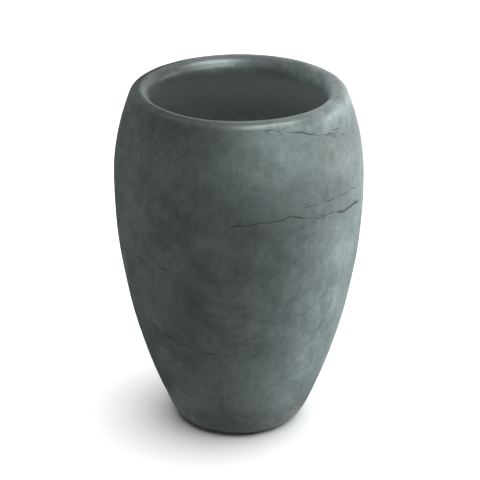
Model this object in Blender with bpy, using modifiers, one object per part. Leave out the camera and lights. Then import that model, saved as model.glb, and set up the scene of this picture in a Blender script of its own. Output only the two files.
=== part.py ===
# Tall flower pot: a turned stone-look body with a rolled lip, a drain bung and four foot pads.
# Metres, +Z up, origin on the floor under the middle of the pot.

import math

import bpy
import numpy as np

# Outside of the pot, measured from the underside of its foot
POT_HEIGHT = 0.572
BELLY_RADIUS = 0.200
BELLY_HEIGHT = 0.420
FOOT_RADIUS = 0.090
FOOT_ROUND_WIDTH = 0.038
FOOT_ROUND_HEIGHT = 0.090
FOOT_ROUND_END = math.radians(-46)

# Rolled lip: an upright oval bead whose crest is the top of the pot
LIP_CREST_RADIUS = 0.1575
LIP_HALF_WIDTH = 0.0167
LIP_HALF_HEIGHT = 0.0187
LIP_OUTER_ANGLE = math.radians(24)
LIP_INNER_ANGLE = math.radians(235)
LIP_BLEND_DEPTH = 0.110

# How long each curve runs straight at its two ends, as a share of the height it spans
LOWER_WALL_REACH = (0.237, 0.440)
UPPER_WALL_REACH = (0.367, 0.356)
LIP_BLEND_REACH = (0.35, 0.25)
CORNER_REACH = 0.55

# Thickness of the casting
WALL = 0.013
FLOOR_THICKNESS = 0.020
FLOOR_FALL = 0.003
FLOOR_CORNER_RADIUS = 0.022

# Drain and its bung
DRAIN_RADIUS = 0.0125
SEAT_WIDTH = 0.007
PLUG_FLANGE_THICKNESS = 0.0035
PLUG_RIB_DEPTH = 0.0010
PLUG_RIB_PITCH = 0.0042
PLUG_RIB_WIDTH = 0.0021
PLUG_EDGE = 0.0010
PLUG_KNOB_RADIUS = 0.0090
PLUG_KNOB_HEIGHT = 0.0080
PLUG_NECK_RADIUS = 0.0055
PLUG_NECK_HEIGHT = 0.0050

# Foot pads in pockets under the foot
PAD_COUNT = 4
PAD_RADIUS = 0.012
PAD_THICKNESS = 0.004
PAD_EDGE_ROUND = 0.0010
POCKET_DEPTH = 0.0023
POCKET_MARGIN = 0.0027
RECESS_DEPTH = 0.004
RECESS_SLOPE = 0.002

# Clearance wherever one piece sits in another
GAP = 0.0003

# Facets
BODY_SIDES = 56
PLUG_SIDES = 32
PAD_SIDES = 24

# Places that follow from the sizes above
FOOT_Z = PAD_THICKNESS + GAP - POCKET_DEPTH
TOP_Z = FOOT_Z + POT_HEIGHT
FLOOR_Z = FOOT_Z + FLOOR_THICKNESS
RECESS_Z = FOOT_Z + RECESS_DEPTH
SEAT_RADIUS = DRAIN_RADIUS + SEAT_WIDTH
SEAT_TOP_Z = FLOOR_Z - FLOOR_FALL
SEAT_Z = SEAT_TOP_Z - PLUG_FLANGE_THICKNESS - GAP
POCKET_RADIUS = PAD_RADIUS + GAP
PAD_RING_RADIUS = FOOT_RADIUS - POCKET_MARGIN - POCKET_RADIUS
RECESS_RADIUS = PAD_RING_RADIUS - POCKET_RADIUS - POCKET_MARGIN

POT_COLOUR = (0.085, 0.105, 0.108, 1.0)
RUBBER_COLOUR = (0.018, 0.018, 0.019, 1.0)


def clear_scene():
    for item in list(bpy.data.objects):
        bpy.data.objects.remove(item, do_unlink=True)


def new_collection(name):
    collection = bpy.data.collections.new(name)
    bpy.context.scene.collection.children.link(collection)
    return collection


def plain_material(name, colour, roughness):
    material = bpy.data.materials.new(name)
    material.use_nodes = True
    shader = material.node_tree.nodes["Principled BSDF"]
    shader.inputs["Base Color"].default_value = colour
    shader.inputs["Roughness"].default_value = roughness
    shader.inputs["Metallic"].default_value = 0.0
    return material


def bezier(start, start_pull, end_pull, end, steps):
    t = np.linspace(0.0, 1.0, steps + 1)[:, None]
    points = [np.asarray(p, float) for p in (start, start_pull, end_pull, end)]
    weights = ((1 - t) ** 3, 3 * t * (1 - t) ** 2, 3 * t * t * (1 - t), t ** 3)
    return sum(weight * point for weight, point in zip(weights, points))


def oval_arc(centre, half_width, half_height, start, end, steps):
    angle = np.linspace(start, end, steps + 1)
    return np.column_stack((centre[0] + half_width * np.cos(angle), centre[1] + half_height * np.sin(angle)))


def direction(radial, upward):
    vector = np.array((radial, upward), float)
    return vector / np.linalg.norm(vector)


def lip_point(angle):
    centre = np.array((LIP_CREST_RADIUS, TOP_Z - LIP_HALF_HEIGHT))
    return centre + (LIP_HALF_WIDTH * math.cos(angle), LIP_HALF_HEIGHT * math.sin(angle))


def lip_heading(angle):
    return direction(-LIP_HALF_WIDTH * math.sin(angle), LIP_HALF_HEIGHT * math.cos(angle))


def outer_wall(foot_steps, lower_steps, upper_steps):
    # Foot to lip: a soft oval foot, a long swelling wall, then the shoulder that draws in to the lip
    foot_centre = (FOOT_RADIUS, FOOT_Z + FOOT_ROUND_HEIGHT)
    foot = oval_arc(foot_centre, FOOT_ROUND_WIDTH, FOOT_ROUND_HEIGHT, -math.pi / 2, FOOT_ROUND_END, foot_steps)
    foot_heading = direction(
        -FOOT_ROUND_WIDTH * math.sin(FOOT_ROUND_END), FOOT_ROUND_HEIGHT * math.cos(FOOT_ROUND_END)
    )
    belly = np.array((BELLY_RADIUS, FOOT_Z + BELLY_HEIGHT))
    upright = np.array((0.0, 1.0))
    rise = belly[1] - foot[-1][1]
    lower = bezier(
        foot[-1],
        foot[-1] + LOWER_WALL_REACH[0] * rise * foot_heading,
        belly - LOWER_WALL_REACH[1] * rise * upright,
        belly,
        lower_steps,
    )
    shoulder = lip_point(LIP_OUTER_ANGLE)
    rise = shoulder[1] - belly[1]
    upper = bezier(
        belly,
        belly + UPPER_WALL_REACH[0] * rise * upright,
        shoulder - UPPER_WALL_REACH[1] * rise * lip_heading(LIP_OUTER_ANGLE),
        shoulder,
        upper_steps,
    )
    return np.vstack((foot, lower[1:], upper[1:]))


def inner_wall_line():
    # The outer wall moved inwards, square to itself, by the thickness of the casting
    outside = outer_wall(40, 160, 80)
    slope = np.gradient(outside, axis=0)
    slope /= np.linalg.norm(slope, axis=1)[:, None]
    inward = np.column_stack((-slope[:, 1], slope[:, 0]))
    return outside + WALL * inward


def inner_wall(steps):
    line = inner_wall_line()
    heights = np.linspace(FLOOR_Z + FLOOR_CORNER_RADIUS, TOP_Z - LIP_BLEND_DEPTH, steps + 1)
    return np.column_stack((np.interp(heights, line[:, 1], line[:, 0]), heights))


def floor_corner(wall_foot, wall_heading, steps):
    flat_end = np.array((wall_foot[0] - FLOOR_CORNER_RADIUS, FLOOR_Z))
    reach = CORNER_REACH * FLOOR_CORNER_RADIUS
    return bezier(flat_end, flat_end + (reach, 0.0), wall_foot - reach * wall_heading, wall_foot, steps)


def lip_blend(wall_top, wall_heading, steps):
    # Under the lip the casting thickens from the plain wall to the full width of the bead
    lip_foot = lip_point(LIP_INNER_ANGLE)
    span = lip_foot[1] - wall_top[1]
    return bezier(
        wall_top,
        wall_top + LIP_BLEND_REACH[0] * span * wall_heading,
        lip_foot + LIP_BLEND_REACH[1] * span * lip_heading(LIP_INNER_ANGLE),
        lip_foot,
        steps,
    )


def pot_profile():
    # One closed outline: down the outside, under the foot, up the drain, across the floor and up the inside
    outside = outer_wall(5, 10, 7)[::-1]
    underside = [
        (RECESS_RADIUS, FOOT_Z),
        (RECESS_RADIUS - RECESS_SLOPE, RECESS_Z),
        (DRAIN_RADIUS, RECESS_Z),
    ]
    drain = [
        (DRAIN_RADIUS, SEAT_Z),
        (SEAT_RADIUS, SEAT_Z),
        (SEAT_RADIUS, SEAT_TOP_Z),
    ]
    wall = inner_wall(11)
    foot_heading = direction(*(wall[1] - wall[0]))
    top_heading = direction(*(wall[-1] - wall[-2]))
    corner = floor_corner(wall[0], foot_heading, 4)
    blend = lip_blend(wall[-1], top_heading, 6)
    bead_centre = (LIP_CREST_RADIUS, TOP_Z - LIP_HALF_HEIGHT)
    bead = oval_arc(bead_centre, LIP_HALF_WIDTH, LIP_HALF_HEIGHT, LIP_INNER_ANGLE, LIP_OUTER_ANGLE, 13)
    return np.vstack((outside, underside, drain, corner, wall[1:], blend[1:], bead[1:-1]))


def plug_profile():
    # Top of the knob to the tip of the stem; both ends lie on the axis
    flange_radius = SEAT_RADIUS - GAP
    flange_z = SEAT_Z + GAP
    flange_top = flange_z + PLUG_FLANGE_THICKNESS
    neck_top = flange_top + PLUG_NECK_HEIGHT
    knob_top = neck_top + PLUG_KNOB_HEIGHT
    knob = oval_arc((0.0, neck_top), PLUG_KNOB_RADIUS, PLUG_KNOB_HEIGHT, math.pi / 2, 0.0, 6)
    rib_radius = DRAIN_RADIUS - GAP
    stem_radius = rib_radius - PLUG_RIB_DEPTH
    grip_and_flange = [
        (PLUG_NECK_RADIUS, neck_top - PLUG_EDGE),
        (PLUG_NECK_RADIUS, flange_top),
        (flange_radius - PLUG_EDGE, flange_top),
        (flange_radius, flange_top - PLUG_EDGE),
        (flange_radius, flange_z),
        (stem_radius, flange_z),
    ]
    ribs = []
    for rib in range(int((flange_z - RECESS_Z) / PLUG_RIB_PITCH)):
        rib_z = flange_z - (rib + 0.5) * PLUG_RIB_PITCH
        ribs += [
            (stem_radius, rib_z + PLUG_RIB_WIDTH / 2),
            (rib_radius, rib_z),
            (stem_radius, rib_z - PLUG_RIB_WIDTH / 2),
        ]
    tip = [(stem_radius - PLUG_EDGE, RECESS_Z), (0.0, RECESS_Z)]
    knob_side = [tuple(point) for point in knob[1:]]
    return np.array([(0.0, knob_top)] + knob_side + grip_and_flange + ribs + tip)


def pad_profile():
    # Origin at the middle of the top face; the lower edge is rounded
    edge_centre = (PAD_RADIUS - PAD_EDGE_ROUND, PAD_EDGE_ROUND - PAD_THICKNESS)
    edge = oval_arc(edge_centre, PAD_EDGE_ROUND, PAD_EDGE_ROUND, 0.0, -math.pi / 2, 4)
    return np.vstack(([(0.0, 0.0), (PAD_RADIUS, 0.0)], edge, [(0.0, -PAD_THICKNESS)]))


def turned(name, profile, closed, sides, material, collection):
    count = len(profile)
    edges = [(i, i + 1) for i in range(count - 1)]
    if closed:
        edges.append((count - 1, 0))
    mesh = bpy.data.meshes.new(name)
    mesh.from_pydata([(float(r), 0.0, float(z)) for r, z in profile], edges, [])
    mesh.materials.append(material)
    item = bpy.data.objects.new(name, mesh)
    collection.objects.link(item)
    screw = item.modifiers.new("turn", "SCREW")
    screw.steps = sides
    screw.render_steps = sides
    screw.use_merge_vertices = True
    screw.merge_threshold = 0.00001
    screw.use_smooth_shade = True
    return item


def pad_places():
    for index in range(PAD_COUNT):
        angle = math.tau * (index + 0.5) / PAD_COUNT
        yield index, PAD_RING_RADIUS * math.cos(angle), PAD_RING_RADIUS * math.sin(angle)


def cut_pad_pockets(body, cutters):
    for index, x, y in pad_places():
        bpy.ops.mesh.primitive_cylinder_add(
            vertices=PAD_SIDES, radius=POCKET_RADIUS, depth=2 * POCKET_DEPTH, location=(x, y, FOOT_Z)
        )
        cutter = bpy.context.object
        cutter.name = f"pad_pocket_cutter_{index + 1}"
        cutter.hide_render = True
        cutter.display_type = "WIRE"
        for collection in list(cutter.users_collection):
            collection.objects.unlink(cutter)
        cutters.objects.link(cutter)
        cut = body.modifiers.new(f"pad_pocket_{index + 1}", "BOOLEAN")
        cut.operation = "DIFFERENCE"
        cut.object = cutter


def build():
    clear_scene()
    parts = new_collection("tall_flower_pot")
    cutters = new_collection("cutters")
    stone = plain_material("slate_grey_stone", POT_COLOUR, 0.42)
    rubber = plain_material("black_rubber", RUBBER_COLOUR, 0.8)

    body = turned("pot_body", pot_profile(), True, BODY_SIDES, stone, parts)
    cut_pad_pockets(body, cutters)

    turned("drain_plug", plug_profile(), False, PLUG_SIDES, rubber, parts)

    first_pad = turned("foot_pad_1", pad_profile(), False, PAD_SIDES, rubber, parts)
    for index, x, y in pad_places():
        pad = first_pad
        if index > 0:
            pad = first_pad.copy()
            pad.name = f"foot_pad_{index + 1}"
            parts.objects.link(pad)
        pad.location = (x, y, PAD_THICKNESS)


build()
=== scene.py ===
# Tall flower pot in satin slate-grey stone, with its drain bung and foot pads
import math
import bmesh
import bpy
import numpy as np
from mathutils import Matrix, Vector


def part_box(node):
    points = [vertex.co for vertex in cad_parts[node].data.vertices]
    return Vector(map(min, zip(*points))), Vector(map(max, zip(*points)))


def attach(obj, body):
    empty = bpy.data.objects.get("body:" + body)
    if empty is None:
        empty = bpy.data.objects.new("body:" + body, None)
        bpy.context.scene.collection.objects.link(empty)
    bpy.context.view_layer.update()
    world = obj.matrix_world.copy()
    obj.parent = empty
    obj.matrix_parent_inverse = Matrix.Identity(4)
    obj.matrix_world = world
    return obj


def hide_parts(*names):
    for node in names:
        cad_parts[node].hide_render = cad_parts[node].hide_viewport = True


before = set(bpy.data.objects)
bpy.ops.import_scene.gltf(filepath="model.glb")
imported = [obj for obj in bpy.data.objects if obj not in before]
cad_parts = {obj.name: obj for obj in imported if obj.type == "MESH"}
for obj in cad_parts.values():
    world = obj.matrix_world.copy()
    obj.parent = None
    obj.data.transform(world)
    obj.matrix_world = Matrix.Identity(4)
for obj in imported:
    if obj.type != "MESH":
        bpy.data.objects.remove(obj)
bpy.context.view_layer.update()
print("frame loaded:", ", ".join(sorted(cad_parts)))

potLow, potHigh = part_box("pot_body")
plugLow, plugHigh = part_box("drain_plug")
mm = 0.001
quarterTurn = math.pi / 2


# Curves and noise

def bezierCurve(start, startPull, endPull, end, steps):
    t = np.linspace(0.0, 1.0, steps + 1)[:, None]
    a, b, c, d = (np.asarray(p, float) for p in (start, startPull, endPull, end))
    return (1 - t) ** 3 * a + 3 * t * (1 - t) ** 2 * b + 3 * t * t * (1 - t) * c + t ** 3 * d


def ovalArc(centre, halfWidth, halfHeight, start, end, steps):
    turn = np.linspace(start, end, steps + 1)
    return np.column_stack((centre[0] + halfWidth * np.cos(turn), centre[1] + halfHeight * np.sin(turn)))


def heading(radial, upward):
    way = np.array((radial, upward), float)
    return way / np.linalg.norm(way)


def straight(start, end):
    return np.array((start, end), float)


def smoothStep(low, high, value):
    t = np.clip((value - low) / (high - low), 0.0, 1.0)
    return t * t * (3 - 2 * t)


def waveNoise(points, wavelength, seed, count=18, spread=(0.7, 1.5)):
    # soft lumps: a sum of slanted waves, about -1 to 1
    rng = np.random.default_rng(seed)
    ways = rng.normal(size=(count, 3))
    ways /= np.linalg.norm(ways, axis=1)[:, None]
    turns = 2 * math.pi / (wavelength * rng.uniform(*spread, count))
    phase = rng.uniform(0, 2 * math.pi, count)
    waves = np.sin(points @ (ways * turns[:, None]).T + phase)
    return waves.sum(axis=1) / math.sqrt(count)


# Pieces from their meshes

def addObject(name, data):
    thing = bpy.data.objects.new(name, data)
    bpy.context.scene.collection.objects.link(thing)
    return thing


def finishPiece(bm, name, sharpAngle):
    bm.normal_update()
    mesh = bpy.data.meshes.new(name)
    bm.to_mesh(mesh)
    bm.free()
    mesh.shade_smooth()
    mesh.set_sharp_from_angle(angle=sharpAngle)
    return addObject(name, mesh)


# The pot: same outline as the solid it stands for

pot = {
    "bellyRadius": potHigh.x,
    "bellyZ": potLow.z + 0.420,
    "footZ": potLow.z,
    "topZ": potHigh.z,
    "footRadius": 0.090,
    "footRound": (0.038, 0.090, math.radians(-46)),  # half width, half height, where the wall takes over
    "lowerPulls": (0.237, 0.440),  # how far the wall holds its heading at each end, by rise
    "upperPulls": (0.367, 0.356),
    "lipCrestRadius": 0.1575,
    "lipHalf": (0.0167, 0.0187),
    "lipTurn": (math.radians(24), math.radians(235)),  # where the bead leaves the outer and the inner wall
    "lipBlendDepth": 0.110,
    "lipBlendPulls": (0.35, 0.25),
    "wall": 0.013,
    "floorThickness": 0.020,
    "floorFall": 0.003,
    "cornerRadius": 0.022,
    "cornerPull": 0.55,
    "drainRadius": 0.0125,
    "seatRadius": 0.0195,
    "seatDepth": 0.0038,
    "recess": (0.060, 0.004, 0.002),  # radius, depth and slope of the hollow under the foot
    # points along each curve, and faces round the pot
    "steps": {"foot": 60, "lower": 500, "upper": 200, "inner": 300, "corner": 60, "blend": 120, "lip": 160},
    "columns": 288,
    # soft unevenness: wavelength, size and seed of each sort, and how far it keeps from foot and floor
    "relief": ((0.11, 0.00030, 5), (0.030, 0.00009, 6)),
    "reliefMargin": 0.02,
    "seamGap": 0.000005,
    "sharpAngle": math.radians(50),
}

padNames = sorted(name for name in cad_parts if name.startswith("foot_pad"))
padBoxes = [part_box(name) for name in padNames]
padCentres = [((low.x + high.x) / 2, (low.y + high.y) / 2) for low, high in padBoxes]
padRadius = (padBoxes[0][1].x - padBoxes[0][0].x) / 2
padTop = padBoxes[0][1].z


def lipPoint(turn):
    wide, tall = pot["lipHalf"]
    radius = pot["lipCrestRadius"] + wide * math.cos(turn)
    return np.array((radius, pot["topZ"] - tall + tall * math.sin(turn)))


def lipHeading(turn):
    wide, tall = pot["lipHalf"]
    return heading(-wide * math.sin(turn), tall * math.cos(turn))


def outerWall():
    steps = pot["steps"]
    width, height, end = pot["footRound"]
    footCentre = (pot["footRadius"], pot["footZ"] + height)
    foot = ovalArc(footCentre, width, height, -quarterTurn, end, steps["foot"])
    footHeading = heading(-width * math.sin(end), height * math.cos(end))
    belly = np.array((pot["bellyRadius"], pot["bellyZ"]))
    rise = belly[1] - foot[-1][1]
    startPull, endPull = pot["lowerPulls"]
    footPull = foot[-1] + startPull * rise * footHeading
    lower = bezierCurve(foot[-1], footPull, belly - (0, endPull * rise), belly, steps["lower"])
    turn = pot["lipTurn"][0]
    shoulder = lipPoint(turn)
    rise = shoulder[1] - belly[1]
    startPull, endPull = pot["upperPulls"]
    shoulderPull = shoulder - endPull * rise * lipHeading(turn)
    upper = bezierCurve(belly, belly + (0, startPull * rise), shoulderPull, shoulder, steps["upper"])
    return np.vstack((foot, lower[1:], upper[1:]))


def innerWall():
    outside = outerWall()
    slope = np.gradient(outside, axis=0)
    slope /= np.linalg.norm(slope, axis=1)[:, None]
    inside = outside + pot["wall"] * np.column_stack((-slope[:, 1], slope[:, 0]))
    low = pot["footZ"] + pot["floorThickness"] + pot["cornerRadius"]
    rows = np.linspace(low, pot["topZ"] - pot["lipBlendDepth"], pot["steps"]["inner"])
    return np.column_stack((np.interp(rows, inside[:, 1], inside[:, 0]), rows))


def potStretches():
    # every stretch of the closed outline, down the outside first, with the height of its rows of faces
    steps = pot["steps"]
    footZ = pot["footZ"]
    floorZ = footZ + pot["floorThickness"]
    seatTop = floorZ - pot["floorFall"]
    seatZ = seatTop - pot["seatDepth"]
    recessRadius, recessDepth, recessSlope = pot["recess"]
    recessZ = footZ + recessDepth
    drain, seat = pot["drainRadius"], pot["seatRadius"]
    wall = innerWall()
    wallFoot, wallTop = wall[0], wall[-1]
    footWay = heading(*(wall[1] - wall[0]))
    topWay = heading(*(wall[-1] - wall[-2]))
    reach = pot["cornerPull"] * pot["cornerRadius"]
    flatEnd = np.array((wallFoot[0] - pot["cornerRadius"], floorZ))
    corner = bezierCurve(flatEnd, flatEnd + (reach, 0), wallFoot - reach * footWay, wallFoot, steps["corner"])
    outerTurn, innerTurn = pot["lipTurn"]
    lipFoot = lipPoint(innerTurn)
    span = lipFoot[1] - wallTop[1]
    startPull, endPull = pot["lipBlendPulls"]
    wallPull = wallTop + startPull * span * topWay
    lipPull = lipFoot + endPull * span * lipHeading(innerTurn)
    blend = bezierCurve(wallTop, wallPull, lipPull, lipFoot, steps["blend"])
    lipCentre = (pot["lipCrestRadius"], pot["topZ"] - pot["lipHalf"][1])
    lip = ovalArc(lipCentre, *pot["lipHalf"], innerTurn, outerTurn, steps["lip"])
    return {
        "outside": (outerWall()[::-1], 0.0042),
        "footRing": (straight((pot["footRadius"], footZ), (recessRadius, footZ)), 0.002),
        "recessEdge": (straight((recessRadius, footZ), (recessRadius - recessSlope, recessZ)), 0.002),
        "recessRoof": (straight((recessRadius - recessSlope, recessZ), (drain, recessZ)), 0.008),
        "drainHole": (straight((drain, recessZ), (drain, seatZ)), 0.003),
        "plugSeat": (straight((drain, seatZ), (seat, seatZ)), 0.003),
        "seatWall": (straight((seat, seatZ), (seat, seatTop)), 0.002),
        "floor": (straight((seat, seatTop), flatEnd), 0.008),
        "corner": (corner, 0.004),
        "inside": (wall, 0.008),
        "lipBlend": (blend, 0.005),
        "lip": (lip, 0.0021),
    }


def layOutline(stretches):
    # the whole outline as one line measured by length, and the lengths at which rows of faces lie
    line, rows, spans, done = [], [], {}, 0.0
    for name, (points, rowHeight) in stretches.items():
        steps = np.linalg.norm(np.diff(points, axis=0), axis=1)
        length = float(steps.sum())
        along = done + np.concatenate(([0.0], np.cumsum(steps)))
        line.append(np.column_stack((along, points))[:-1])
        count = max(1, round(length / rowHeight))
        rows.append(done + length * np.arange(count) / count)
        spans[name] = (done, done + length)
        done += length
    closing = np.array([[done, *stretches["outside"][0][0]]])
    return np.vstack(line + [closing]), np.concatenate(rows + [[done]]), spans


def wallLookup(line, spans):
    # length down the wall, negative above the shoulder, and radius for a height between foot and crest
    outer = line[line[:, 0] <= spans["outside"][1]]
    crest = line[line[:, 0] > spans["lip"][0]]
    crest = crest[crest[:, 2].argmax():-1]
    down = np.concatenate((crest[:, 0] - line[-1, 0], outer[:, 0]))
    height = np.concatenate((crest[:, 2], outer[:, 2]))
    radius = np.concatenate((crest[:, 1], outer[:, 1]))
    order = height.argsort()
    return (lambda z: float(np.interp(z, height[order], down[order])),
            lambda z: float(np.interp(z, height[order], radius[order])))


def downWall(along, line, spans):
    # length along the outline as length down the wall, negative on the lip
    return np.where(along > spans["lip"][0], along - line[-1, 0], along)


# Cracks: routes round the pot as (degrees from the front towards the right, height in mm); size as half
# width, depth and step down below the crack in mm; clusters of chips as (share of the way along, how many)

cracks = {
    "rim": {
        "route": [(-2, 565), (4, 564.5), (11, 563.5), (16, 563), (21, 562), (27, 557), (36, 549.5),
                  (48, 540.5), (57, 534), (62, 526), (65, 516)],
        "size": (0.66, 0.56, 0.25), "twigs": 6, "seed": 11, "clusters": [(0.30, 30), (0.80, 16), (0.94, 14)],
    },
    "rimFork": {
        "route": [(48, 541), (54, 544), (60, 539)],
        "size": (0.7, 0.6, 0.2), "twigs": 2, "seed": 12, "clusters": [],
    },
    "shoulder": {
        "route": [(71, 410), (60, 411), (54, 412), (45, 420), (40, 416), (35, 419), (30, 425), (23.5, 431),
                  (19, 428), (12.5, 427), (7, 425), (-2, 422), (-6, 417)],
        "size": (1.1, 1.0, 0.5), "twigs": 8, "seed": 21,
        "clusters": [(0.19, 12), (0.43, 22), (0.70, 10), (0.93, 14)],
    },
    "shoulderDeep": {
        "route": [(73, 409), (66, 410), (60, 411), (54, 412), (47, 418)],
        "size": (1.8, 1.2, 0.1), "twigs": 3, "seed": 23, "clusters": [(0.30, 9), (0.62, 8)],
    },
    "shoulderUpper": {
        "route": [(70, 436), (60, 440), (50.5, 441), (43, 443), (35.5, 442), (26, 440)],
        "size": (0.8, 0.7, 0.15), "twigs": 3, "seed": 22, "clusters": [],
    },
    "left": {
        "route": [(-50, 350), (-44.5, 343), (-40.5, 335), (-37, 331), (-34, 330), (-29, 331), (-20, 327)],
        "size": (1.2, 0.38, 0.30), "twigs": 4, "seed": 31, "clusters": [(0.12, 10), (0.55, 9)],
    },
    "leftFork": {
        "route": [(-60, 335), (-52, 332), (-44.5, 338)],
        "size": (1.0, 0.4, 0.25), "twigs": 2, "seed": 32, "clusters": [],
    },
    "foot": {
        "route": [(-53, 201), (-43, 204), (-38, 201), (-34, 197), (-25.5, 196), (-20.5, 189), (-16, 188),
                  (-10.5, 188), (-5, 183)],
        "size": (1.4, 0.52, 0.35), "twigs": 5, "seed": 41, "clusters": [(0.45, 9), (0.72, 8)],
    },
    "footLower": {
        "route": [(-48, 142), (-38, 154), (-31.5, 164), (-25, 174), (-21, 181)],
        "size": (1.2, 0.52, 0.30), "twigs": 2, "seed": 42, "clusters": [],
    },
}

# the same sort of cracks on the side away from the front: which route, mirrored, turned and lifted by how
# much, and its seed
backCracks = [
    ("shoulder", -150, -40, 61),
    ("foot", 160, 190, 62),
    ("left", 175, -130, 63),
    ("rim", -168, -62, 64),
    ("footLower", 152, 60, 65),
]

crackLook = {
    "step": 0.0015,
    "wander": ((0.017, 0.0013), (0.0065, 0.0009), (0.0030, 0.0005)),  # wavelength and size of the wandering
    "swell": (0.013, 0.04, 0.35, 1.25),  # how often width and depth change, how far past the end, least, most
    "fade": (0.02, 0.35, 0.18),  # length of the thin ends, at most this share of a crack, what the tips keep
    "twig": {"length": (0.006, 0.018), "slant": (0.15, 0.7), "sag": 0.0006, "share": 0.6, "margin": 3},
    "chip": {"length": (0.004, 0.012), "slant": (0.25, 0.25), "spread": (0.0105, 0.0030), "kink": 0.0005,
             "size": (0.62, 0.42, 0.15)},
    "branchSeed": 1000,
    "twigSeed": 2000,
    "chipSeeds": 99999,
    "leastWidth": 0.00012,
    "bowl": 1.5,  # how fast the groove closes towards its sides
    "ledgeReach": 0.011,
    "edge": (0.0024, 0.25, 0.0003),  # reach of the painted highlight on the step's edge, its share above the crack, step for all of it
    "dark": (1.35, 1.8, 0.0007, 0.2),  # painted shade in the groove: strength, reach in half widths, depth for full dark, least share
    "nearCrack": (0.0075, 0.0008),  # darker about the crack: reach, and depth for all of it
    "refine": (0.011, 0.006, 0.0030),  # faces this close to a crack are split, once for each
    "refineSearch": 0.02,
    "search": 0.05,
}


def smoothRoute(points, step, between=24, fewest=4):
    # a Catmull-Rom line through the route's points, with one point every step
    points = np.asarray(points, float)
    padded = np.vstack((2 * points[0] - points[1], points, 2 * points[-1] - points[-2]))
    fine = []
    for i in range(len(points) - 1):
        p0, p1, p2, p3 = padded[i:i + 4]
        t = np.linspace(0, 1, between, endpoint=False)[:, None]
        fine.append(0.5 * (2 * p1 + (p2 - p0) * t + (2 * p0 - 5 * p1 + 4 * p2 - p3) * t * t
                           + (3 * p1 - p0 - 3 * p2 + p3) * t ** 3))
    fine = np.vstack(fine + [points[-1:]])
    along = np.concatenate(([0.0], np.cumsum(np.linalg.norm(np.diff(fine, axis=0), axis=1))))
    stops = np.linspace(0, along[-1], max(fewest, round(along[-1] / step)) + 1)
    return np.column_stack([np.interp(stops, along, fine[:, k]) for k in range(2)]), stops


def crackLine(route, size, seed, radius):
    # route in metres (round the wall, down the wall), roughened; width and depth come and go along it
    rng = np.random.default_rng(seed)
    line, stops = smoothRoute(route, crackLook["step"])
    for wavelength, sway in crackLook["wander"]:
        knots = np.arange(0, stops[-1] + 2 * wavelength, wavelength)
        line[:, 1] += np.interp(stops, knots, rng.uniform(-sway, sway, len(knots)))
    spacing, past, least, most = crackLook["swell"]
    knots = np.arange(0, stops[-1] + past, spacing)
    swell = np.interp(stops, knots, rng.uniform(least, most, len(knots)))
    fadeLength, fadeShare, tip = crackLook["fade"]
    fade = min(fadeLength, fadeShare * stops[-1])
    taper = np.minimum(1.0, np.minimum(stops, stops[-1] - stops) / fade + tip)
    halfWidth, depth, ledge = size
    return {
        "round": line[:, 0], "down": line[:, 1], "radius": radius, "ledge": ledge * mm * taper,
        "halfWidth": halfWidth * mm * swell * taper, "depth": depth * mm * swell * taper,
    }


def twigLines(look, spots, rng, seed, radius):
    # short thin branches that leave the crack at a slant
    twig = crackLook["twig"]
    halfWidth, depth, _ = look["size"]
    size = (twig["share"] * halfWidth, twig["share"] * depth, 0.0)
    lines = []
    for k in range(look["twigs"]):
        start = spots[rng.integers(twig["margin"], len(spots) - twig["margin"])]
        length = rng.uniform(*twig["length"])
        slant = rng.uniform(*twig["slant"]) * rng.choice((-1, 1))
        side = rng.choice((-1, 1))
        way = np.array((side * math.cos(slant), math.sin(slant)))
        route = [start, start + 0.5 * length * way + (0, twig["sag"]), start + length * way]
        lines.append(crackLine(route, size, seed + crackLook["twigSeed"] + k, radius))
    return lines


def chipLines(look, spots, rng, radius):
    # clusters of small broken chips about the crack
    chip = crackLook["chip"]
    lines = []
    for share, count in look["clusters"]:
        centre = spots[round(share * (len(spots) - 1))]
        for _ in range(count):
            middle = centre + rng.normal(size=2) * chip["spread"]
            slant = rng.choice((-1, 1)) * abs(rng.normal(*chip["slant"]))
            half = 0.5 * rng.uniform(*chip["length"])
            way = half * np.array((math.cos(slant), math.sin(slant)))
            route = [middle - way, middle + rng.normal(size=2) * chip["kink"], middle + way]
            seed = int(rng.integers(1, crackLook["chipSeeds"]))
            lines.append(crackLine(route, chip["size"], seed, radius))
    return lines


def layCracks(downAtHeight, radiusAtHeight):
    lines = []
    wanted = [(item["route"], item, item["seed"]) for item in cracks.values()]
    for name, turned, lifted, seed in backCracks:
        route = [(-degrees + turned, height + lifted) for degrees, height in cracks[name]["route"]]
        wanted.append((route, cracks[name], seed))
    for route, look, seed in wanted:
        radius = float(np.mean([radiusAtHeight(height / 1000) for _, height in route]))
        flat = [(math.radians(degrees) * radius, downAtHeight(height / 1000)) for degrees, height in route]
        main = crackLine(flat, look["size"], seed, radius)
        spots = np.column_stack((main["round"], main["down"]))
        rng = np.random.default_rng(seed + crackLook["branchSeed"])
        lines.append(main)
        lines += twigLines(look, spots, rng, seed, radius)
        lines += chipLines(look, spots, rng, radius)
    return lines


def nearestOnLine(line, angle, down):
    # distance to the crack, its width, depth and ledge at the nearest place, and which side is below
    x = angle * line["radius"]
    ax, ay = line["round"][:-1], line["down"][:-1]
    dx, dy = np.diff(line["round"]), np.diff(line["down"])
    t = ((x[:, None] - ax) * dx + (down[:, None] - ay) * dy) / (dx * dx + dy * dy)
    t = np.clip(t, 0, 1)
    gap = np.hypot(x[:, None] - ax - t * dx, down[:, None] - ay - t * dy)
    i = gap.argmin(axis=1)
    pick = np.arange(len(x))
    share = i + t[pick, i]
    stops = np.arange(len(line["round"]))
    below = down > np.interp(share, stops, line["down"])
    values = {key: np.interp(share, stops, line[key]) for key in ("halfWidth", "depth", "ledge")}
    return gap[pick, i], values, below


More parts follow.
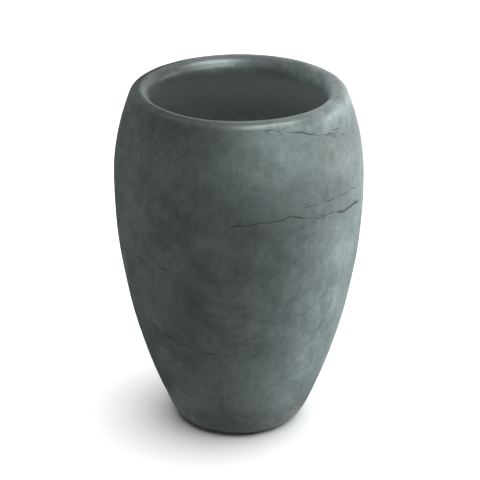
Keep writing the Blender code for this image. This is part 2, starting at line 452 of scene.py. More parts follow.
def crackField(lines, angle, down, search):
    # at each point: distance to the nearest crack, how far the stone sinks, its painted shade in the groove,
    # its painted highlight on the edge, and how much darker it is about the crack
    field = {name: np.zeros(len(angle)) for name in ("sink", "ledge", "mask", "edge", "nearCrack")}
    field["gap"] = np.ones(len(angle))
    edgeReach, edgeAbove, edgeLedge = crackLook["edge"]
    darkStrength, darkReach, darkDepth, darkLeast = crackLook["dark"]
    nearCrackReach, nearCrackDepth = crackLook["nearCrack"]
    for line in lines:
        turns = line["round"] / line["radius"]
        spread = search / line["radius"]
        beside = (angle > turns.min() - spread) & (angle < turns.max() + spread)
        level = (down > line["down"].min() - search) & (down < line["down"].max() + search)
        near = np.nonzero(beside & level)[0]
        if not len(near):
            continue
        gap, values, below = nearestOnLine(line, angle[near], down[near])
        width = np.maximum(values["halfWidth"], crackLook["leastWidth"])
        bowl = np.clip(1 - (gap / width) ** 2, 0, 1) ** crackLook["bowl"]
        ledge = np.where(below, values["ledge"] * np.exp(-gap / crackLook["ledgeReach"]), 0.0)
        # a painted highlight on the edge of the step below the crack
        edge = np.exp(-np.maximum(gap - width, 0) / edgeReach) * (1 - bowl)
        edge *= np.where(below, 1.0, edgeAbove) * np.clip(values["ledge"] / edgeLedge, 0, 1)
        # painted shade in the groove, darker where it is deeper
        mask = np.clip(darkStrength * (1 - gap / (darkReach * width)), 0, 1)
        mask *= np.clip(values["depth"] / darkDepth, darkLeast, 1)
        nearCrack = np.exp(-gap / nearCrackReach) * np.clip(values["depth"] / nearCrackDepth, 0, 1)
        found = {"sink": values["depth"] * bowl, "ledge": ledge, "mask": mask, "edge": edge, "nearCrack": nearCrack}
        for name, amount in found.items():
            field[name][near] = np.maximum(field[name][near], amount)
        field["gap"][near] = np.minimum(field["gap"][near], gap)
    return field


# large paler and darker patches in the stone colour, partly the stone's own clouds and partly painted light
# and shade: degrees, height in mm, how far they reach in each, and how much paler or darker
stoneTonesAndPaintedLight = [
    # darker patches on the wall, partly stone clouds and partly painted shade
    (-18, 305, 13, 70, -0.36),
    (-31, 445, 11, 65, -0.28),
    (-5, 270, 12, 50, -0.15),
    (15, 350, 14, 90, -0.20),
    (25, 385, 7, 25, -0.16),
    (40, 395, 10, 75, -0.12),
    (47, 495, 9, 48, -0.32),
    (14, 190, 8, 55, -0.14),
    (1, 409, 9, 9, -0.16),
    # paler patches on the wall, partly stone clouds and partly painted highlight
    (-45, 115, 13, 60, 0.36),
    (-50, 280, 9, 60, 0.20),
    (-57, 455, 9, 70, 0.16),
    (-12, 540, 11, 25, 0.12),
    # painted highlight: the soft glow of a lamp on the front right shoulder
    (12, 520, 17, 34, 0.70),
    (33, 540, 11, 26, 0.06),
    (57, 360, 13, 85, 0.18),
    (45, 225, 13, 60, 0.22),
    (38, 120, 9, 40, 0.14),
    # along the lip: painted highlights on its right half and painted shade on its left, where light falls and
    # where it does not
    (80, 570, 34, 16, 0.95),
    (-33, 571, 28, 12, -0.40),
    (-88, 572, 25, 12, 0.12),
    (32, 566, 24, 9, 0.42),
    (52, 570, 12, 9, 0.35),
    (118, 572, 20, 12, 0.75),
    (152, 572, 24, 13, 0.42),
    (-130, 572, 26, 12, -0.36),
    # round the foot: mostly painted shade, darker near the floor
    (62, 60, 16, 35, -0.15),
    (0, 42, 55, 15, -0.26),
    (44, 25, 14, 18, -0.34),
    (30, 58, 10, 16, 0.22),
    (-50, 52, 20, 15, -0.18),
    (14, 12, 12, 12, -0.26),
]

toneAndPaintedLightLook = {
    "repeats": ((0, 0), (185, 35)),  # each cloud lies on the front and, turned and lifted, on the back
    "level": 0.95,
    "breakUp": ((0.045, 0.28, 8), (0.016, 0.15, 9)),  # wavelength, size and seed of lumps that break it up
    "range": (0.2, 1.8),
}


def toneAndPaintedLightField(angle, z, place):
    shift = np.zeros(len(angle))
    for degrees, height, wide, tall, amount in stoneTonesAndPaintedLight:
        for turned, lifted in toneAndPaintedLightLook["repeats"]:
            away = np.degrees(np.angle(np.exp(1j * (angle - math.radians(degrees + turned)))))
            across = (away / wide) ** 2
            upward = ((1000 * z - height - lifted) / tall) ** 2
            shift += amount * np.exp(-0.5 * across - 0.5 * upward)
    patches = toneAndPaintedLightLook["level"]
    for wavelength, size, seed in toneAndPaintedLightLook["breakUp"]:
        patches = patches + size * waveNoise(place, wavelength, seed)
    return shift * np.clip(patches, *toneAndPaintedLightLook["range"])


def flatGrid(columns, rows):
    # the pot's surface unrolled: x is the angle from the front, y the length along the outline
    angles = np.linspace(-math.pi, math.pi, columns + 1)
    grid = np.array([(a, s, 0.0) for s in rows for a in angles])
    wide = columns + 1
    firsts = [j * wide + i for j in range(len(rows) - 1) for i in range(columns)]
    faces = [(k, k + wide, k + wide + 1, k + 1) for k in firsts]
    mesh = bpy.data.meshes.new("pot_flat")
    mesh.from_pydata(grid.tolist(), [], faces)
    return mesh


def vertexArray(bm):
    return np.array([v.co[:] for v in bm.verts])


def splitNear(bm, close):
    bm.verts.ensure_lookup_table()
    faces = [f for f in bm.faces if any(close[v.index] for v in f.verts)]
    edges = list({e for f in faces for e in f.edges})
    bmesh.ops.subdivide_edges(bm, edges=edges, cuts=1, use_grid_fill=True)
    bm.verts.index_update()


pocket = {
    "gap": 0.0003,  # room above and round each pad
    "slope": 0.0006,  # width of the slanting side
    "refine": (0.0022, 0.0011),  # faces this close to the side are split, once for each
}


def padDistance(x, y):
    return np.min([np.hypot(x - cx, y - cy) for cx, cy in padCentres], axis=0)


def pocketDepth(x, y):
    # how far the underside is let in above each foot pad
    depth = padTop + pocket["gap"] - pot["footZ"]
    inner = padRadius + pocket["gap"]
    return depth * (1 - smoothStep(inner, inner + pocket["slope"], padDistance(x, y)))


def footRing(along, spans):
    start, end = spans["footRing"]
    return (along > start) & (along < end)


def splitSurface(bm, lines, line, spans):
    # smaller faces near the cracks and the pockets' sides
    side = padRadius + pocket["gap"] + pocket["slope"] / 2
    for level, reach in enumerate(crackLook["refine"]):
        angle, along, _ = vertexArray(bm).T
        down = downWall(along, line, spans)
        close = crackField(lines, angle, down, crackLook["refineSearch"])["gap"] < reach
        if level < len(pocket["refine"]):
            r = np.interp(along, line[:, 0], line[:, 1])
            sideGap = np.abs(padDistance(r * np.sin(angle), -r * np.cos(angle)) - side)
            close |= footRing(along, spans) & (sideGap < pocket["refine"][level])
        splitNear(bm, close)


zones = {
    "paintedLightEnd": (-0.006, 0.020),  # the painted light inside ends here, from the start of the lip
    "paintedLightLow": 0.25,  # how much of the painted light it keeps further down
    "paintedLightHeights": (0.45, 0.52),  # between these heights the painted light grows
    "lipInner": (-0.075, -0.045),  # the rubbed lip, by length down the wall from the shoulder
    "lipOuter": (-0.014, 0.006),
}


def stoneMarks(angle, along, down, place, z, field, spans):
    # what the stone's material reads at every point
    lipStart = spans["lip"][0]
    inside = smoothStep(spans["seatWall"][0], spans["floor"][0], along)
    paintedLightStart, paintedLightStop = zones["paintedLightEnd"]
    inside *= 1 - smoothStep(lipStart + paintedLightStart, lipStart + paintedLightStop, along)
    paintedInsideLight = zones["paintedLightLow"] + (1 - zones["paintedLightLow"]) * smoothStep(*zones["paintedLightHeights"], z)
    return {
        "crackShadeMask": field["mask"],
        "crackEdgeHighlight": field["edge"],
        "crackSurround": field["nearCrack"],
        "paintedInsideLightShare": inside * paintedInsideLight,
        "lipShare": smoothStep(*zones["lipInner"], down) * (1 - smoothStep(*zones["lipOuter"], down)),
        "paintedLightAndTone": toneAndPaintedLightField(angle, z, place) * (1 - inside),
    }


def makePot():
    line, rows, spans = layOutline(potStretches())
    lines = layCracks(*wallLookup(line, spans))
    bm = bmesh.new()
    flat = flatGrid(pot["columns"], rows)
    bm.from_mesh(flat)
    bpy.data.meshes.remove(flat)
    splitSurface(bm, lines, line, spans)
    print("pot surface split near its cracks:", len(bm.faces), "faces")

    # roll it up, with its unevenness and cracks along the way that the surface faces
    angle, along, _ = vertexArray(bm).T
    down = downWall(along, line, spans)
    r = np.interp(along, line[:, 0], line[:, 1])
    z = np.interp(along, line[:, 0], line[:, 2])
    slope = np.gradient(line[:, 1:], line[:, 0], axis=0)
    slope /= np.linalg.norm(slope, axis=1)[:, None]
    outR = -np.interp(along, line[:, 0], slope[:, 1])
    outZ = np.interp(along, line[:, 0], slope[:, 0])
    place = np.column_stack((r * np.sin(angle), -r * np.cos(angle), z))
    field = crackField(lines, angle, down, crackLook["search"])
    margin = pot["reliefMargin"]
    uneven = (along < spans["outside"][1] - margin) | (along > spans["inside"][0] + margin)
    relief = sum(size * waveNoise(place, wavelength, seed) for wavelength, size, seed in pot["relief"])
    lift = np.where(uneven, relief, 0.0) - field["sink"] - field["ledge"]
    place[:, 0] += lift * outR * np.sin(angle)
    place[:, 1] -= lift * outR * np.cos(angle)
    place[:, 2] += lift * outZ
    place[:, 2] += pocketDepth(place[:, 0], place[:, 1]) * footRing(along, spans)
    for vert, spot in zip(bm.verts, place):
        vert.co = spot

    for name, values in stoneMarks(angle, along, down, place, z, field, spans).items():
        layer = bm.verts.layers.float.new(name)
        for vert, value in zip(bm.verts, values):
            vert[layer] = value
    seam = [v for v in bm.verts if v.is_boundary]
    bmesh.ops.remove_doubles(bm, verts=seam, dist=pot["seamGap"])
    return finishPiece(bm, "pot_stone", pot["sharpAngle"])


# Bung and pads: turned rubber pieces

def turnedPiece(name, outline, look):
    # outline runs from the top of the axis round to the bottom of the axis
    bm = bmesh.new()
    sides = look["sides"]
    spin = [2 * math.pi * i / sides for i in range(sides)]
    top = bm.verts.new((0, 0, outline[0][1]))
    bottom = bm.verts.new((0, 0, outline[-1][1]))
    rings = [[bm.verts.new((r * math.cos(a), r * math.sin(a), z)) for a in spin] for r, z in outline[1:-1]]
    for i in range(sides):
        j = (i + 1) % sides
        bm.faces.new((top, rings[0][i], rings[0][j]))
        for upper, lower in zip(rings, rings[1:]):
            bm.faces.new((upper[i], lower[i], lower[j], upper[j]))
        bm.faces.new((rings[-1][j], rings[-1][i], bottom))
    return finishPiece(bm, name, look["sharpAngle"])


bung = {
    "flangeRadius": plugHigh.x,
    "flangeThickness": 0.0035,
    "flangeZ": potLow.z + 0.0135,
    "edge": 0.0009,
    "lowerEdge": 0.0005,
    "neckRadius": 0.0055,
    "neckHeight": 0.0050,
    "knobHalf": (0.0090, 0.0080),
    "knobSteps": 14,
    "stemRadius": 0.0112,
    "ribRadius": 0.0122,
    "ribPitch": 0.0042,
    "ribHalf": 0.25,  # half height of a rib, as a share of the pitch
    "ribSteps": 9,
    "sides": 96,
    "sharpAngle": math.radians(48),
}


def roundedEdge(centre, radius, start, end, steps=5):
    return [tuple(p) for p in ovalArc(centre, radius, radius, start, end, steps)]


def makeBung():
    flangeZ, flangeRadius = bung["flangeZ"], bung["flangeRadius"]
    top = flangeZ + bung["flangeThickness"]
    edge, lowerEdge, neck = bung["edge"], bung["lowerEdge"], bung["neckRadius"]
    neckTop = top + bung["neckHeight"]
    knobWide, knobTall = bung["knobHalf"]
    stem, pitch = bung["stemRadius"], bung["ribPitch"]
    outline = [tuple(p) for p in ovalArc((0, neckTop), knobWide, knobTall, quarterTurn, 0, bung["knobSteps"])]
    outline[0] = (0.0, plugHigh.z)
    outline += roundedEdge((knobWide - edge, neckTop), edge, 0, -quarterTurn)[1:]
    outline += roundedEdge((neck + edge, neckTop - 2 * edge), edge, quarterTurn, math.pi)
    outline += roundedEdge((neck + edge, top + edge), edge, math.pi, 1.5 * math.pi)
    outline += roundedEdge((flangeRadius - edge, top - edge), edge, quarterTurn, 0)
    outline += roundedEdge((flangeRadius - lowerEdge, flangeZ + lowerEdge), lowerEdge, 0, -quarterTurn)
    outline.append((stem, flangeZ))
    for k in range(int((flangeZ - plugLow.z) / pitch)):
        middle = flangeZ - (k + 0.5) * pitch
        for share in np.linspace(-1, 1, bung["ribSteps"]):
            swell = math.cos(share * quarterTurn) ** 2
            radius = stem + swell * (bung["ribRadius"] - stem)
            outline.append((radius, middle - share * bung["ribHalf"] * pitch))
    outline += roundedEdge((stem - edge, plugLow.z + edge), edge, 0, -quarterTurn)
    outline.append((0.0, plugLow.z))
    return turnedPiece("drain_bung", outline, bung)


padLook = {
    "edge": 0.0010,
    "topBevel": 0.0003,
    "dish": (0.62, 0.55, 0.0005),  # where it starts and is full, as shares of the radius, and its depth
    "sides": 72,
    "sharpAngle": math.radians(48),
}


def makePad(name, low, high):
    centre = ((low.x + high.x) / 2, (low.y + high.y) / 2)
    radius, edge, bevel = padRadius, padLook["edge"], padLook["topBevel"]
    outline = [(0.0, high.z), (radius - bevel, high.z), (radius, high.z - bevel)]
    outline += roundedEdge((radius - edge, low.z + edge), edge, 0, -quarterTurn)
    # a shallow dish in the middle, so the pad grips on its ring
    start, full, depth = padLook["dish"]
    outline += [(start * radius, low.z), (full * radius, low.z + depth), (0.0, low.z + depth)]
    piece = turnedPiece(name, outline, padLook)
    piece.data.transform(Matrix.Translation((*centre, 0)))
    return piece


# Shader helpers and groups

def addNode(tree, kind, spot, **settings):
    node = tree.nodes.new(kind)
    node.location = spot
    for key, value in settings.items():
        setattr(node, key, value)
    return node


def feed(socket, value):
    # another node's output is linked; a number, vector or colour is set
    if isinstance(value, bpy.types.NodeSocket):
        socket.id_data.links.new(value, socket)
    elif socket.type == "RGBA":
        socket.default_value = (*value, 1.0)
    else:
        socket.default_value = value


def setInputs(node, **values):
    for key, value in values.items():
        feed(node.inputs[key.replace("_", " ")], value)
    return node


def maths(tree, operation, spot, *values, clamp=False):
    node = addNode(tree, "ShaderNodeMath", spot, operation=operation, use_clamp=clamp)
    for socket, value in zip(node.inputs, values):
        feed(socket, value)
    return node.outputs[0]


def tint(tree, spot, share, first, second):
    # one colour over another
    mix = addNode(tree, "ShaderNodeMix", spot, data_type="RGBA")
    for index, value in ((0, share), (6, first), (7, second)):
        feed(mix.inputs[index], value)
    return mix.outputs[2]


def mapRange(tree, spot, value, kind="LINEAR", **ends):
    node = addNode(tree, "ShaderNodeMapRange", spot, interpolation_type=kind)
    return setInputs(node, Value=value, **ends).outputs["Result"]


def noise(tree, spot, **values):
    return setInputs(addNode(tree, "ShaderNodeTexNoise", spot), **values).outputs["Fac"]


def pointMask(tree, spot, name):
    return addNode(tree, "ShaderNodeAttribute", spot, attribute_name=name).outputs["Fac"]


def newGroup(name, inputs, outputs):
    tree = bpy.data.node_groups.new(name, "ShaderNodeTree")
    tree.interface.new_socket("Vector", in_out="INPUT", socket_type="NodeSocketVector")
    for label, value in inputs.items():
        socket = tree.interface.new_socket(label, in_out="INPUT", socket_type="NodeSocketFloat")
        socket.default_value = value
    for label in outputs:
        tree.interface.new_socket(label, in_out="OUTPUT", socket_type="NodeSocketFloat")
    start = addNode(tree, "NodeGroupInput", (-900, 0))
    end = addNode(tree, "NodeGroupOutput", (900, 0))
    return tree, start.outputs, end


def cloudGroup():
    # broad soft clouds with smaller blotches inside them
    sizes = {"Broad Scale": 7.0, "Blotch Scale": 26.0, "Blotch Share": 0.4}
    tree, given, end = newGroup("stoneClouds", sizes, ["Tone"])
    broad = noise(tree, (-600, 200), Vector=given["Vector"], Scale=given["Broad Scale"],
                  Detail=5.0, Roughness=0.55, Distortion=0.8)
    blotch = noise(tree, (-600, -100), Vector=given["Vector"], Scale=given["Blotch Scale"],
                   Detail=6.0, Roughness=0.62, Distortion=0.4)
    mix = setInputs(addNode(tree, "ShaderNodeMix", (-200, 100), data_type="FLOAT"),
                    Factor=given["Blotch Share"], A=broad, B=blotch)
    tone = mapRange(tree, (200, 100), mix.outputs["Result"], "SMOOTHSTEP", From_Min=0.32, From_Max=0.68)
    setInputs(end, Tone=tone)
    return tree


def strokeGroup():
    # fine rubbing marks: short upright ones and fainter level ones, about 0 to 1 round 0.5
    sizes = {"Fine Scale": 420.0, "Long Scale": 45.0}
    tree, given, end = newGroup("rubbingMarks", sizes, ["Upright", "Level"])
    for label, order, y in (("Upright", ("Fine Scale", "Fine Scale", "Long Scale"), 200),
                            ("Level", ("Long Scale", "Long Scale", "Fine Scale"), -200)):
        scale = addNode(tree, "ShaderNodeCombineXYZ", (-600, y))
        for socket, source in zip(scale.inputs, order):
            feed(socket, given[source])
        stretch = addNode(tree, "ShaderNodeVectorMath", (-350, y), operation="MULTIPLY")
        feed(stretch.inputs[0], given["Vector"])
        feed(stretch.inputs[1], scale.outputs["Vector"])
        marks = noise(tree, (-100, y), Vector=stretch.outputs["Vector"],
                      Scale=1.0, Detail=3.0, Roughness=0.6, Distortion=0.25)
        feed(end.inputs[label], marks)
    return tree


def grainGroup():
    # tiny pits and grains, used on stone and rubber alike
    sizes = {"Grain Scale": 900.0, "Pit Scale": 160.0}
    tree, given, end = newGroup("fineGrain", sizes, ["Grain", "Pits"])
    grain = noise(tree, (-500, 200), Vector=given["Vector"], Scale=given["Grain Scale"],
                  Detail=4.0, Roughness=0.7)
    cells = setInputs(addNode(tree, "ShaderNodeTexVoronoi", (-500, -150), feature="F1"),
                      Vector=given["Vector"], Scale=given["Pit Scale"], Randomness=1.0)
    pits = mapRange(tree, (-150, -150), cells.outputs["Distance"], "SMOOTHSTEP",
                    From_Min=0.04, From_Max=0.20, To_Min=1.0, To_Max=0.0)
    setInputs(end, Grain=grain, Pits=pits)
    return tree


def placeGroup(tree, group, spot, **values):
    return setInputs(addNode(tree, "ShaderNodeGroup", spot, node_tree=group), **values)


def newMaterial(name):
    material = bpy.data.materials.new(name)
    material.use_nodes = True
    tree = material.node_tree
    return material, tree, tree.nodes["Principled BSDF"]


slate = {
    "dark": (0.080, 0.099, 0.0995),
    "light": (0.197, 0.238, 0.236),
    "stretch": (1.0, 1.0, 0.72),  # draws the streaks and the grain out upright
    "clouds": {"Broad_Scale": 6.5, "Blotch_Scale": 22.0, "Blotch_Share": 0.4},
    "streaks": {"Broad_Scale": 50.0, "Blotch_Scale": 160.0, "Blotch_Share": 0.45},
    "marks": {"Fine_Scale": 230.0, "Long_Scale": 85.0},
    "grain": {"Grain_Scale": 900.0, "Pit_Scale": 130.0},
    "streakShare": 0.47,
    "levelMarks": 0.4,  # strength of the level rubbing marks next to the upright ones
    # the strongest rubbing marks turn paler and the weakest darker
    "tickPale": {"From_Min": 0.80, "From_Max": 0.95, "To_Min": 0.0, "To_Max": 0.19},
    "tickDim": {"From_Min": 0.45, "From_Max": 0.60, "To_Min": -0.19, "To_Max": 0.0},
    # the paler colour painted inside the pot is painted light
    "paintedInsideLight": (0.300, 0.335, 0.330),
    "paintedInsideLightShare": 0.9,
    "nearCrack": (0.055, 0.066, 0.067),
    "nearCrackShare": 0.45,
    # painted highlight on the edge of the step below a crack
    "edge": (0.290, 0.320, 0.318),
    "edgeShare": 0.20,
    # painted shade inside the crack's groove
    "crack": (0.020, 0.026, 0.027),
    "crackShare": 0.95,
    "rough": {"To_Min": 0.52, "To_Max": 0.40},  # from dark stone to light
    "shine": {"Specular_IOR_Level": 0.20, "Specular_Tint": (0.86, 1.0, 0.97), "Coat_Roughness": 0.34},
    "lipCoat": 0.55,
    "markRelief": 0.5,
    "bump": {"Strength": 0.22, "Distance": 0.0006},
}


def overlay(tree, spot, under, name, mask):
    # one of the slate's colours over what is under it, by its share of the mask
    share = maths(tree, "MULTIPLY", spot, mask, slate[name + "Share"])
    return tint(tree, (spot[0] + 200, spot[1]), share, under, slate[name])


def slateMaterial(clouds, strokes, grains):
    material, tree, shader = newMaterial("slate_stone")
    spots = addNode(tree, "ShaderNodeTexCoord", (-1600, 0)).outputs["Object"]
    stretch = addNode(tree, "ShaderNodeVectorMath", (-1450, 550), operation="MULTIPLY")
    feed(stretch.inputs[0], spots)
    feed(stretch.inputs[1], slate["stretch"])
    drawn = stretch.outputs["Vector"]
    cloud = placeGroup(tree, clouds, (-1300, 300), Vector=spots, **slate["clouds"]).outputs["Tone"]
    streak = placeGroup(tree, clouds, (-1300, 550), Vector=drawn, **slate["streaks"]).outputs["Tone"]
    stroke = placeGroup(tree, strokes, (-1300, 0), Vector=spots, **slate["marks"])
    grain = placeGroup(tree, grains, (-1300, -300), Vector=drawn, **slate["grain"])

    # tone: broad clouds, upright streaky blotches, and a little of the rubbing marks
    blend = setInputs(addNode(tree, "ShaderNodeMix", (-1050, 350), data_type="FLOAT"),
                      Factor=slate["streakShare"], A=cloud, B=streak)
    marks = maths(tree, "MULTIPLY_ADD", (-1050, 0), stroke.outputs["Level"], slate["levelMarks"],
                  stroke.outputs["Upright"])
    pale = mapRange(tree, (-850, 100), marks, "SMOOTHSTEP", **slate["tickPale"])
    dim = mapRange(tree, (-850, -100), marks, "SMOOTHSTEP", **slate["tickDim"])
    ticks = maths(tree, "ADD", (-650, 0), pale, dim)
    tone = maths(tree, "ADD", (-500, 150), blend.outputs["Result"], ticks, clamp=True)
    body = tint(tree, (-450, 200), tone, slate["dark"], slate["light"])

    # large paler and darker clouds, partly the stone's own and partly painted highlight and shade
    level = maths(tree, "ADD", (-450, 650), pointMask(tree, (-650, 650), "paintedLightAndTone"), 1.0)
    tonedAndPaintedLight = addNode(tree, "ShaderNodeVectorMath", (-320, 550), operation="SCALE")
    feed(tonedAndPaintedLight.inputs[0], body)
    setInputs(tonedAndPaintedLight, Scale=level)

    # the inside is painted paler, most of all near the top: painted light where light falls in at the mouth,
    # filling the shade under the lip
    inside = pointMask(tree, (-650, 450), "paintedInsideLightShare")
    paintedInsideLight = overlay(tree, (-450, 450), tonedAndPaintedLight.outputs["Vector"], "paintedInsideLight", inside)

    # cracks: darker about, with a painted highlight on the edge below, and painted shade inside the groove;
    # pits are as dark as the darkening about the crack
    nearCrack = maths(tree, "MULTIPLY", (-650, -700), pointMask(tree, (-850, -700), "crackSurround"), streak)
    pits = maths(tree, "MULTIPLY", (-650, -850), grain.outputs["Pits"], cloud)
    crackSurroundAndPits = maths(tree, "MAXIMUM", (-450, -750), nearCrack, pits)
    darkerNearCracks = overlay(tree, (-320, -750), paintedInsideLight, "nearCrack", crackSurroundAndPits)
    edgeHighlighted = overlay(tree, (-450, -350), darkerNearCracks, "edge", pointMask(tree, (-850, -500), "crackEdgeHighlight"))
    crackShaded = overlay(tree, (-200, -250), edgeHighlighted, "crack", pointMask(tree, (-850, -300), "crackShadeMask"))

    # darker stone is duller, and the lip is rubbed smooth and shines more
    rough = mapRange(tree, (-200, -50), tone, **slate["rough"])
    lip = pointMask(tree, (-450, -150), "lipShare")
    coat = maths(tree, "MULTIPLY", (50, -250), lip, slate["lipCoat"])
    height = maths(tree, "MULTIPLY_ADD", (-450, -650), marks, slate["markRelief"], grain.outputs["Grain"])
    bump = setInputs(addNode(tree, "ShaderNodeBump", (-200, -650)), Height=height, **slate["bump"])
    setInputs(shader, Base_Color=crackShaded, Roughness=rough, Coat_Weight=coat, Normal=bump.outputs["Normal"],
              **slate["shine"])
    return material


rubber = {
    "bung": {"dark": (0.016, 0.016, 0.017), "dusty": (0.085, 0.080, 0.072), "rough": (0.62, 0.85)},
    "pad": {"dark": (0.011, 0.011, 0.012), "dusty": (0.060, 0.058, 0.054), "rough": (0.70, 0.92)},
    "clouds": {"Broad_Scale": 60.0, "Blotch_Scale": 240.0, "Blotch_Share": 0.5},
    "grain": {"Grain_Scale": 1800.0, "Pit_Scale": 700.0},
    "dustShare": 0.5,
    "specular": 0.4,
    "bump": {"Strength": 0.2, "Distance": 0.0002},
}


def rubberMaterial(name, look, clouds, grains):
    material, tree, shader = newMaterial(name)
    spots = addNode(tree, "ShaderNodeTexCoord", (-1200, 0)).outputs["Object"]
    cloud = placeGroup(tree, clouds, (-900, 200), Vector=spots, **rubber["clouds"]).outputs["Tone"]
    grain = placeGroup(tree, grains, (-900, -150), Vector=spots, **rubber["grain"]).outputs["Grain"]
    dust = maths(tree, "MULTIPLY", (-600, 200), cloud, rubber["dustShare"])
    body = tint(tree, (-350, 200), dust, look["dark"], look["dusty"])
    rough = mapRange(tree, (-350, -50), cloud, To_Min=look["rough"][0], To_Max=look["rough"][1])
    bump = setInputs(addNode(tree, "ShaderNodeBump", (-350, -350)), Height=grain, **rubber["bump"])
    setInputs(shader, Base_Color=body, Roughness=rough, Normal=bump.outputs["Normal"],
              Specular_IOR_Level=rubber["specular"])
    return material


# Build the pieces

potStone = makePot()
print("pot made:", len(potStone.data.vertices), "points")
drainBung = makeBung()
pads = [makePad(name + "_rubber", low, high) for name, (low, high) in zip(padNames, padBoxes)]
print("bung and", len(pads), "pads made")

stoneClouds, rubbingMarks, fineGrain = cloudGroup(), strokeGroup(), grainGroup()
potStone.data.materials.append(slateMaterial(stoneClouds, rubbingMarks, fineGrain))
drainBung.data.materials.append(rubberMaterial("bung_rubber", rubber["bung"], stoneClouds, fineGrain))
padRubber = rubberMaterial("pad_rubber", rubber["pad"], stoneClouds, fineGrain)
for pad in pads:
    pad.data.materials.append(padRubber)

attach(potStone, "pot")
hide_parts("pot_body")
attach(drainBung, "plug")
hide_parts("drain_plug")
for pad, name in zip(pads, padNames):
    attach(pad, "pot")
    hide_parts(name)
print("pieces finished and riding")


# Studio: pale floor, soft lights, camera

studio = {
    "floorSize": 16.0,
    "floorShown": (0.94, 0.94, 0.94),
    "floorBounce": (0.12, 0.12, 0.12),
    "worldShown": 1.0,
    "worldFill": 0.10,
    "aim": (0, 0, 0.33),
    "shineColour": (0.91, 1.0, 0.98),
    # softboxes on the object: degrees round from the front towards the right, degrees up, metres away, size,
    # power, and what it gives: soft light, shine alone or fill alone
    "lamps": [
        ("rightFront", 60, 4, 1.9, (1.0, 0.60), 7.5, "soft"),
        ("rightSide", 96, 4, 1.9, (1.0, 0.85), 28.0, "soft"),
        ("rightGlow", 80, -20, 0.8, (0.9, 0.10), 4.2, "fill"),
        ("shoulderShine", 32, 22, 1.9, (1.7, 0.95), 38.0, "shine"),
        ("lipShine", 46, 62, 1.9, (1.4, 0.8), 56.0, "shine"),
        ("frontFill", -20, 5, 2.2, (0.8, 0.6), 1.0, "soft"),
        ("leftLow", -67, -5, 1.9, (0.8, 0.45), 6.0, "soft"),
        ("backRim", 168, 55, 2.2, (1.6, 0.6), 3.2, "soft"),
        ("backLeft", -125, 52, 1.9, (0.8, 0.6), 5.0, "fill"),
        ("backFill", -150, 5, 2.2, (1.4, 0.8), 9.0, "fill"),
        ("topFill", 80, 80, 1.9, (0.7, 0.7), 4.0, "fill"),
    ],
    # a small soft lamp down in the pot, out of sight: place, radius and power
    "insideFill": ((0.01, -0.06, 0.47), 0.05, 0.31),
    # a folded dark card, left and behind, keeps the left edge from mirroring the white room, and panels just
    # above the ground beside the pot do so for the lower wall: from and to across, from and to along
    "card": {
        "fold": [(-1.2, -0.9), (-1.2, 0.45), (-0.10, 0.45)],
        "foot": 0.02,
        "height": 1.7,
        "ground": [(-1.2, -0.15, -0.35, 0.44), (0.13, 1.2, -0.25, 0.80)],
        "groundZ": 0.004,
        "colour": (0.10, 0.10, 0.10),
    },
    # a soft sun for the floor alone: strength, spread, degrees round and up, metres away
    "floorWash": (5.2, 90, 105, 74, 2.0),
}


def lampWay(turn, up):
    turn, up = math.radians(turn), math.radians(up)
    return Vector((math.cos(up) * math.sin(turn), -math.cos(up) * math.cos(turn), math.sin(up)))


def shownRays(tree):
    # 1 for rays that look straight at the background, or see it in a reflection or through glass
    rays = addNode(tree, "ShaderNodeLightPath", (-1000, 0)).outputs
    seen = maths(tree, "ADD", (-800, 0), rays["Is Camera Ray"], rays["Is Glossy Ray"])
    return maths(tree, "ADD", (-600, 0), seen, rays["Is Transmission Ray"], clamp=True)


def matteMaterial(name):
    material, tree, shader = newMaterial(name)
    setInputs(shader, Roughness=1.0, Specular_IOR_Level=0.0)
    return material, tree, shader


def makeFloor():
    half = studio["floorSize"] / 2
    mesh = bpy.data.meshes.new("studio_floor")
    corners = [(-half, -half, 0), (half, -half, 0), (half, half, 0), (-half, half, 0)]
    mesh.from_pydata(corners, [], [(0, 1, 2, 3)])
    floor = addObject("studio_floor", mesh)
    material, tree, shader = matteMaterial("studio_floor")
    colour = tint(tree, (-300, 0), shownRays(tree), studio["floorBounce"], studio["floorShown"])
    setInputs(shader, Base_Color=colour)
    mesh.materials.append(material)
    return floor


def makeCard():
    look = studio["card"]
    mesh = bpy.data.meshes.new("studio_card")
    corners = [(x, y, z) for z in (look["foot"], look["height"]) for x, y in look["fold"]]
    faces = [(0, 1, 4, 3), (1, 2, 5, 4)]
    for left, right, near, far in look["ground"]:
        first = len(corners)
        outline = ((left, near), (right, near), (right, far), (left, far))
        corners += [(x, y, look["groundZ"]) for x, y in outline]
        faces.append((first, first + 1, first + 2, first + 3))
    mesh.from_pydata(corners, [], faces)
    card = addObject("studio_card", mesh)
    card.visible_camera = False
    card.visible_shadow = False
    card.visible_diffuse = False
    material, _, shader = matteMaterial("studio_card")
    setInputs(shader, Base_Color=look["colour"])
    mesh.materials.append(material)


def makeWorld():
    world = bpy.data.worlds.new("studio_world")
    bpy.context.scene.world = world
    world.use_nodes = True
    tree = world.node_tree
    shown = shownRays(tree)
    level = mapRange(tree, (-300, 0), shown, To_Min=studio["worldFill"], To_Max=studio["worldShown"])
    setInputs(tree.nodes["Background"], Color=(1, 1, 1), Strength=level)


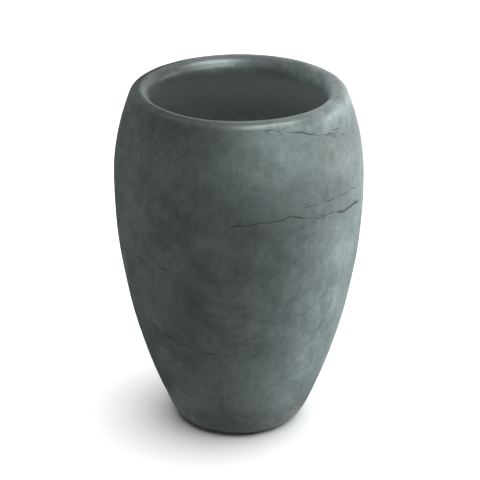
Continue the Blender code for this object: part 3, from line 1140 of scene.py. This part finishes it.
def addLamp(name, kind, power, turn, up, away, receivers):
    light = bpy.data.lights.new(name, kind)
    light.energy = power
    lamp = addObject(name, light)
    way = lampWay(turn, up)
    lamp.location = Vector(studio["aim"]) + away * way
    lamp.rotation_euler = way.to_track_quat("Z", "Y").to_euler()
    lamp.light_linking.receiver_collection = receivers
    return lamp


def makeLights(floor):
    # the softboxes light the object and the wash lights the floor, so the shadow stays soft and close
    floorOnly = bpy.data.collections.new("floor_only")
    notFloor = bpy.data.collections.new("not_floor")
    for group in (floorOnly, notFloor):
        group.objects.link(floor)
    notFloor.collection_objects[0].light_linking.link_state = "EXCLUDE"
    for name, turn, up, away, size, power, gives in studio["lamps"]:
        lamp = addLamp(name, "AREA", power, turn, up, away, notFloor)
        lamp.data.shape = "RECTANGLE"
        lamp.data.size, lamp.data.size_y = size
        lamp.visible_camera = False
        lamp.visible_diffuse = gives != "shine"
        lamp.visible_glossy = gives != "fill"
        if gives == "shine":
            lamp.data.color = studio["shineColour"]
    place, radius, power = studio["insideFill"]
    lamp = addLamp("insideFill", "POINT", power, 0, 0, 0, notFloor)
    lamp.location = place
    lamp.data.shadow_soft_size = radius
    lamp.visible_camera = False
    lamp.visible_glossy = False
    strength, spread, turn, up, away = studio["floorWash"]
    wash = addLamp("floorWash", "SUN", strength, turn, up, away, floorOnly)
    wash.data.angle = math.radians(spread)


view = {
    "pitch": math.radians(24.48),
    "distance": 2.871,
    "aimHeight": 0.3099,
    "sideways": 0.0019,
    "frameWidth": 480,
    "focalPixels": 1762.4,
    "sensor": 36.0,
    "clipEnd": 60.0,
}


def makeCamera():
    camera = bpy.data.cameras.new("camera")
    camera.sensor_width = view["sensor"]
    camera.lens = view["sensor"] * view["focalPixels"] / view["frameWidth"]
    camera.clip_end = view["clipEnd"]
    eye = addObject("camera", camera)
    back = view["distance"]
    eye.location = (view["sideways"], -back * math.cos(view["pitch"]),
                    view["aimHeight"] + back * math.sin(view["pitch"]))
    eye.rotation_euler = (quarterTurn - view["pitch"], 0, 0)
    bpy.context.scene.camera = eye


makeWorld()
makeLights(makeFloor())
makeCard()
makeCamera()
bpy.context.scene.view_settings.view_transform = "Standard"
print("studio set")
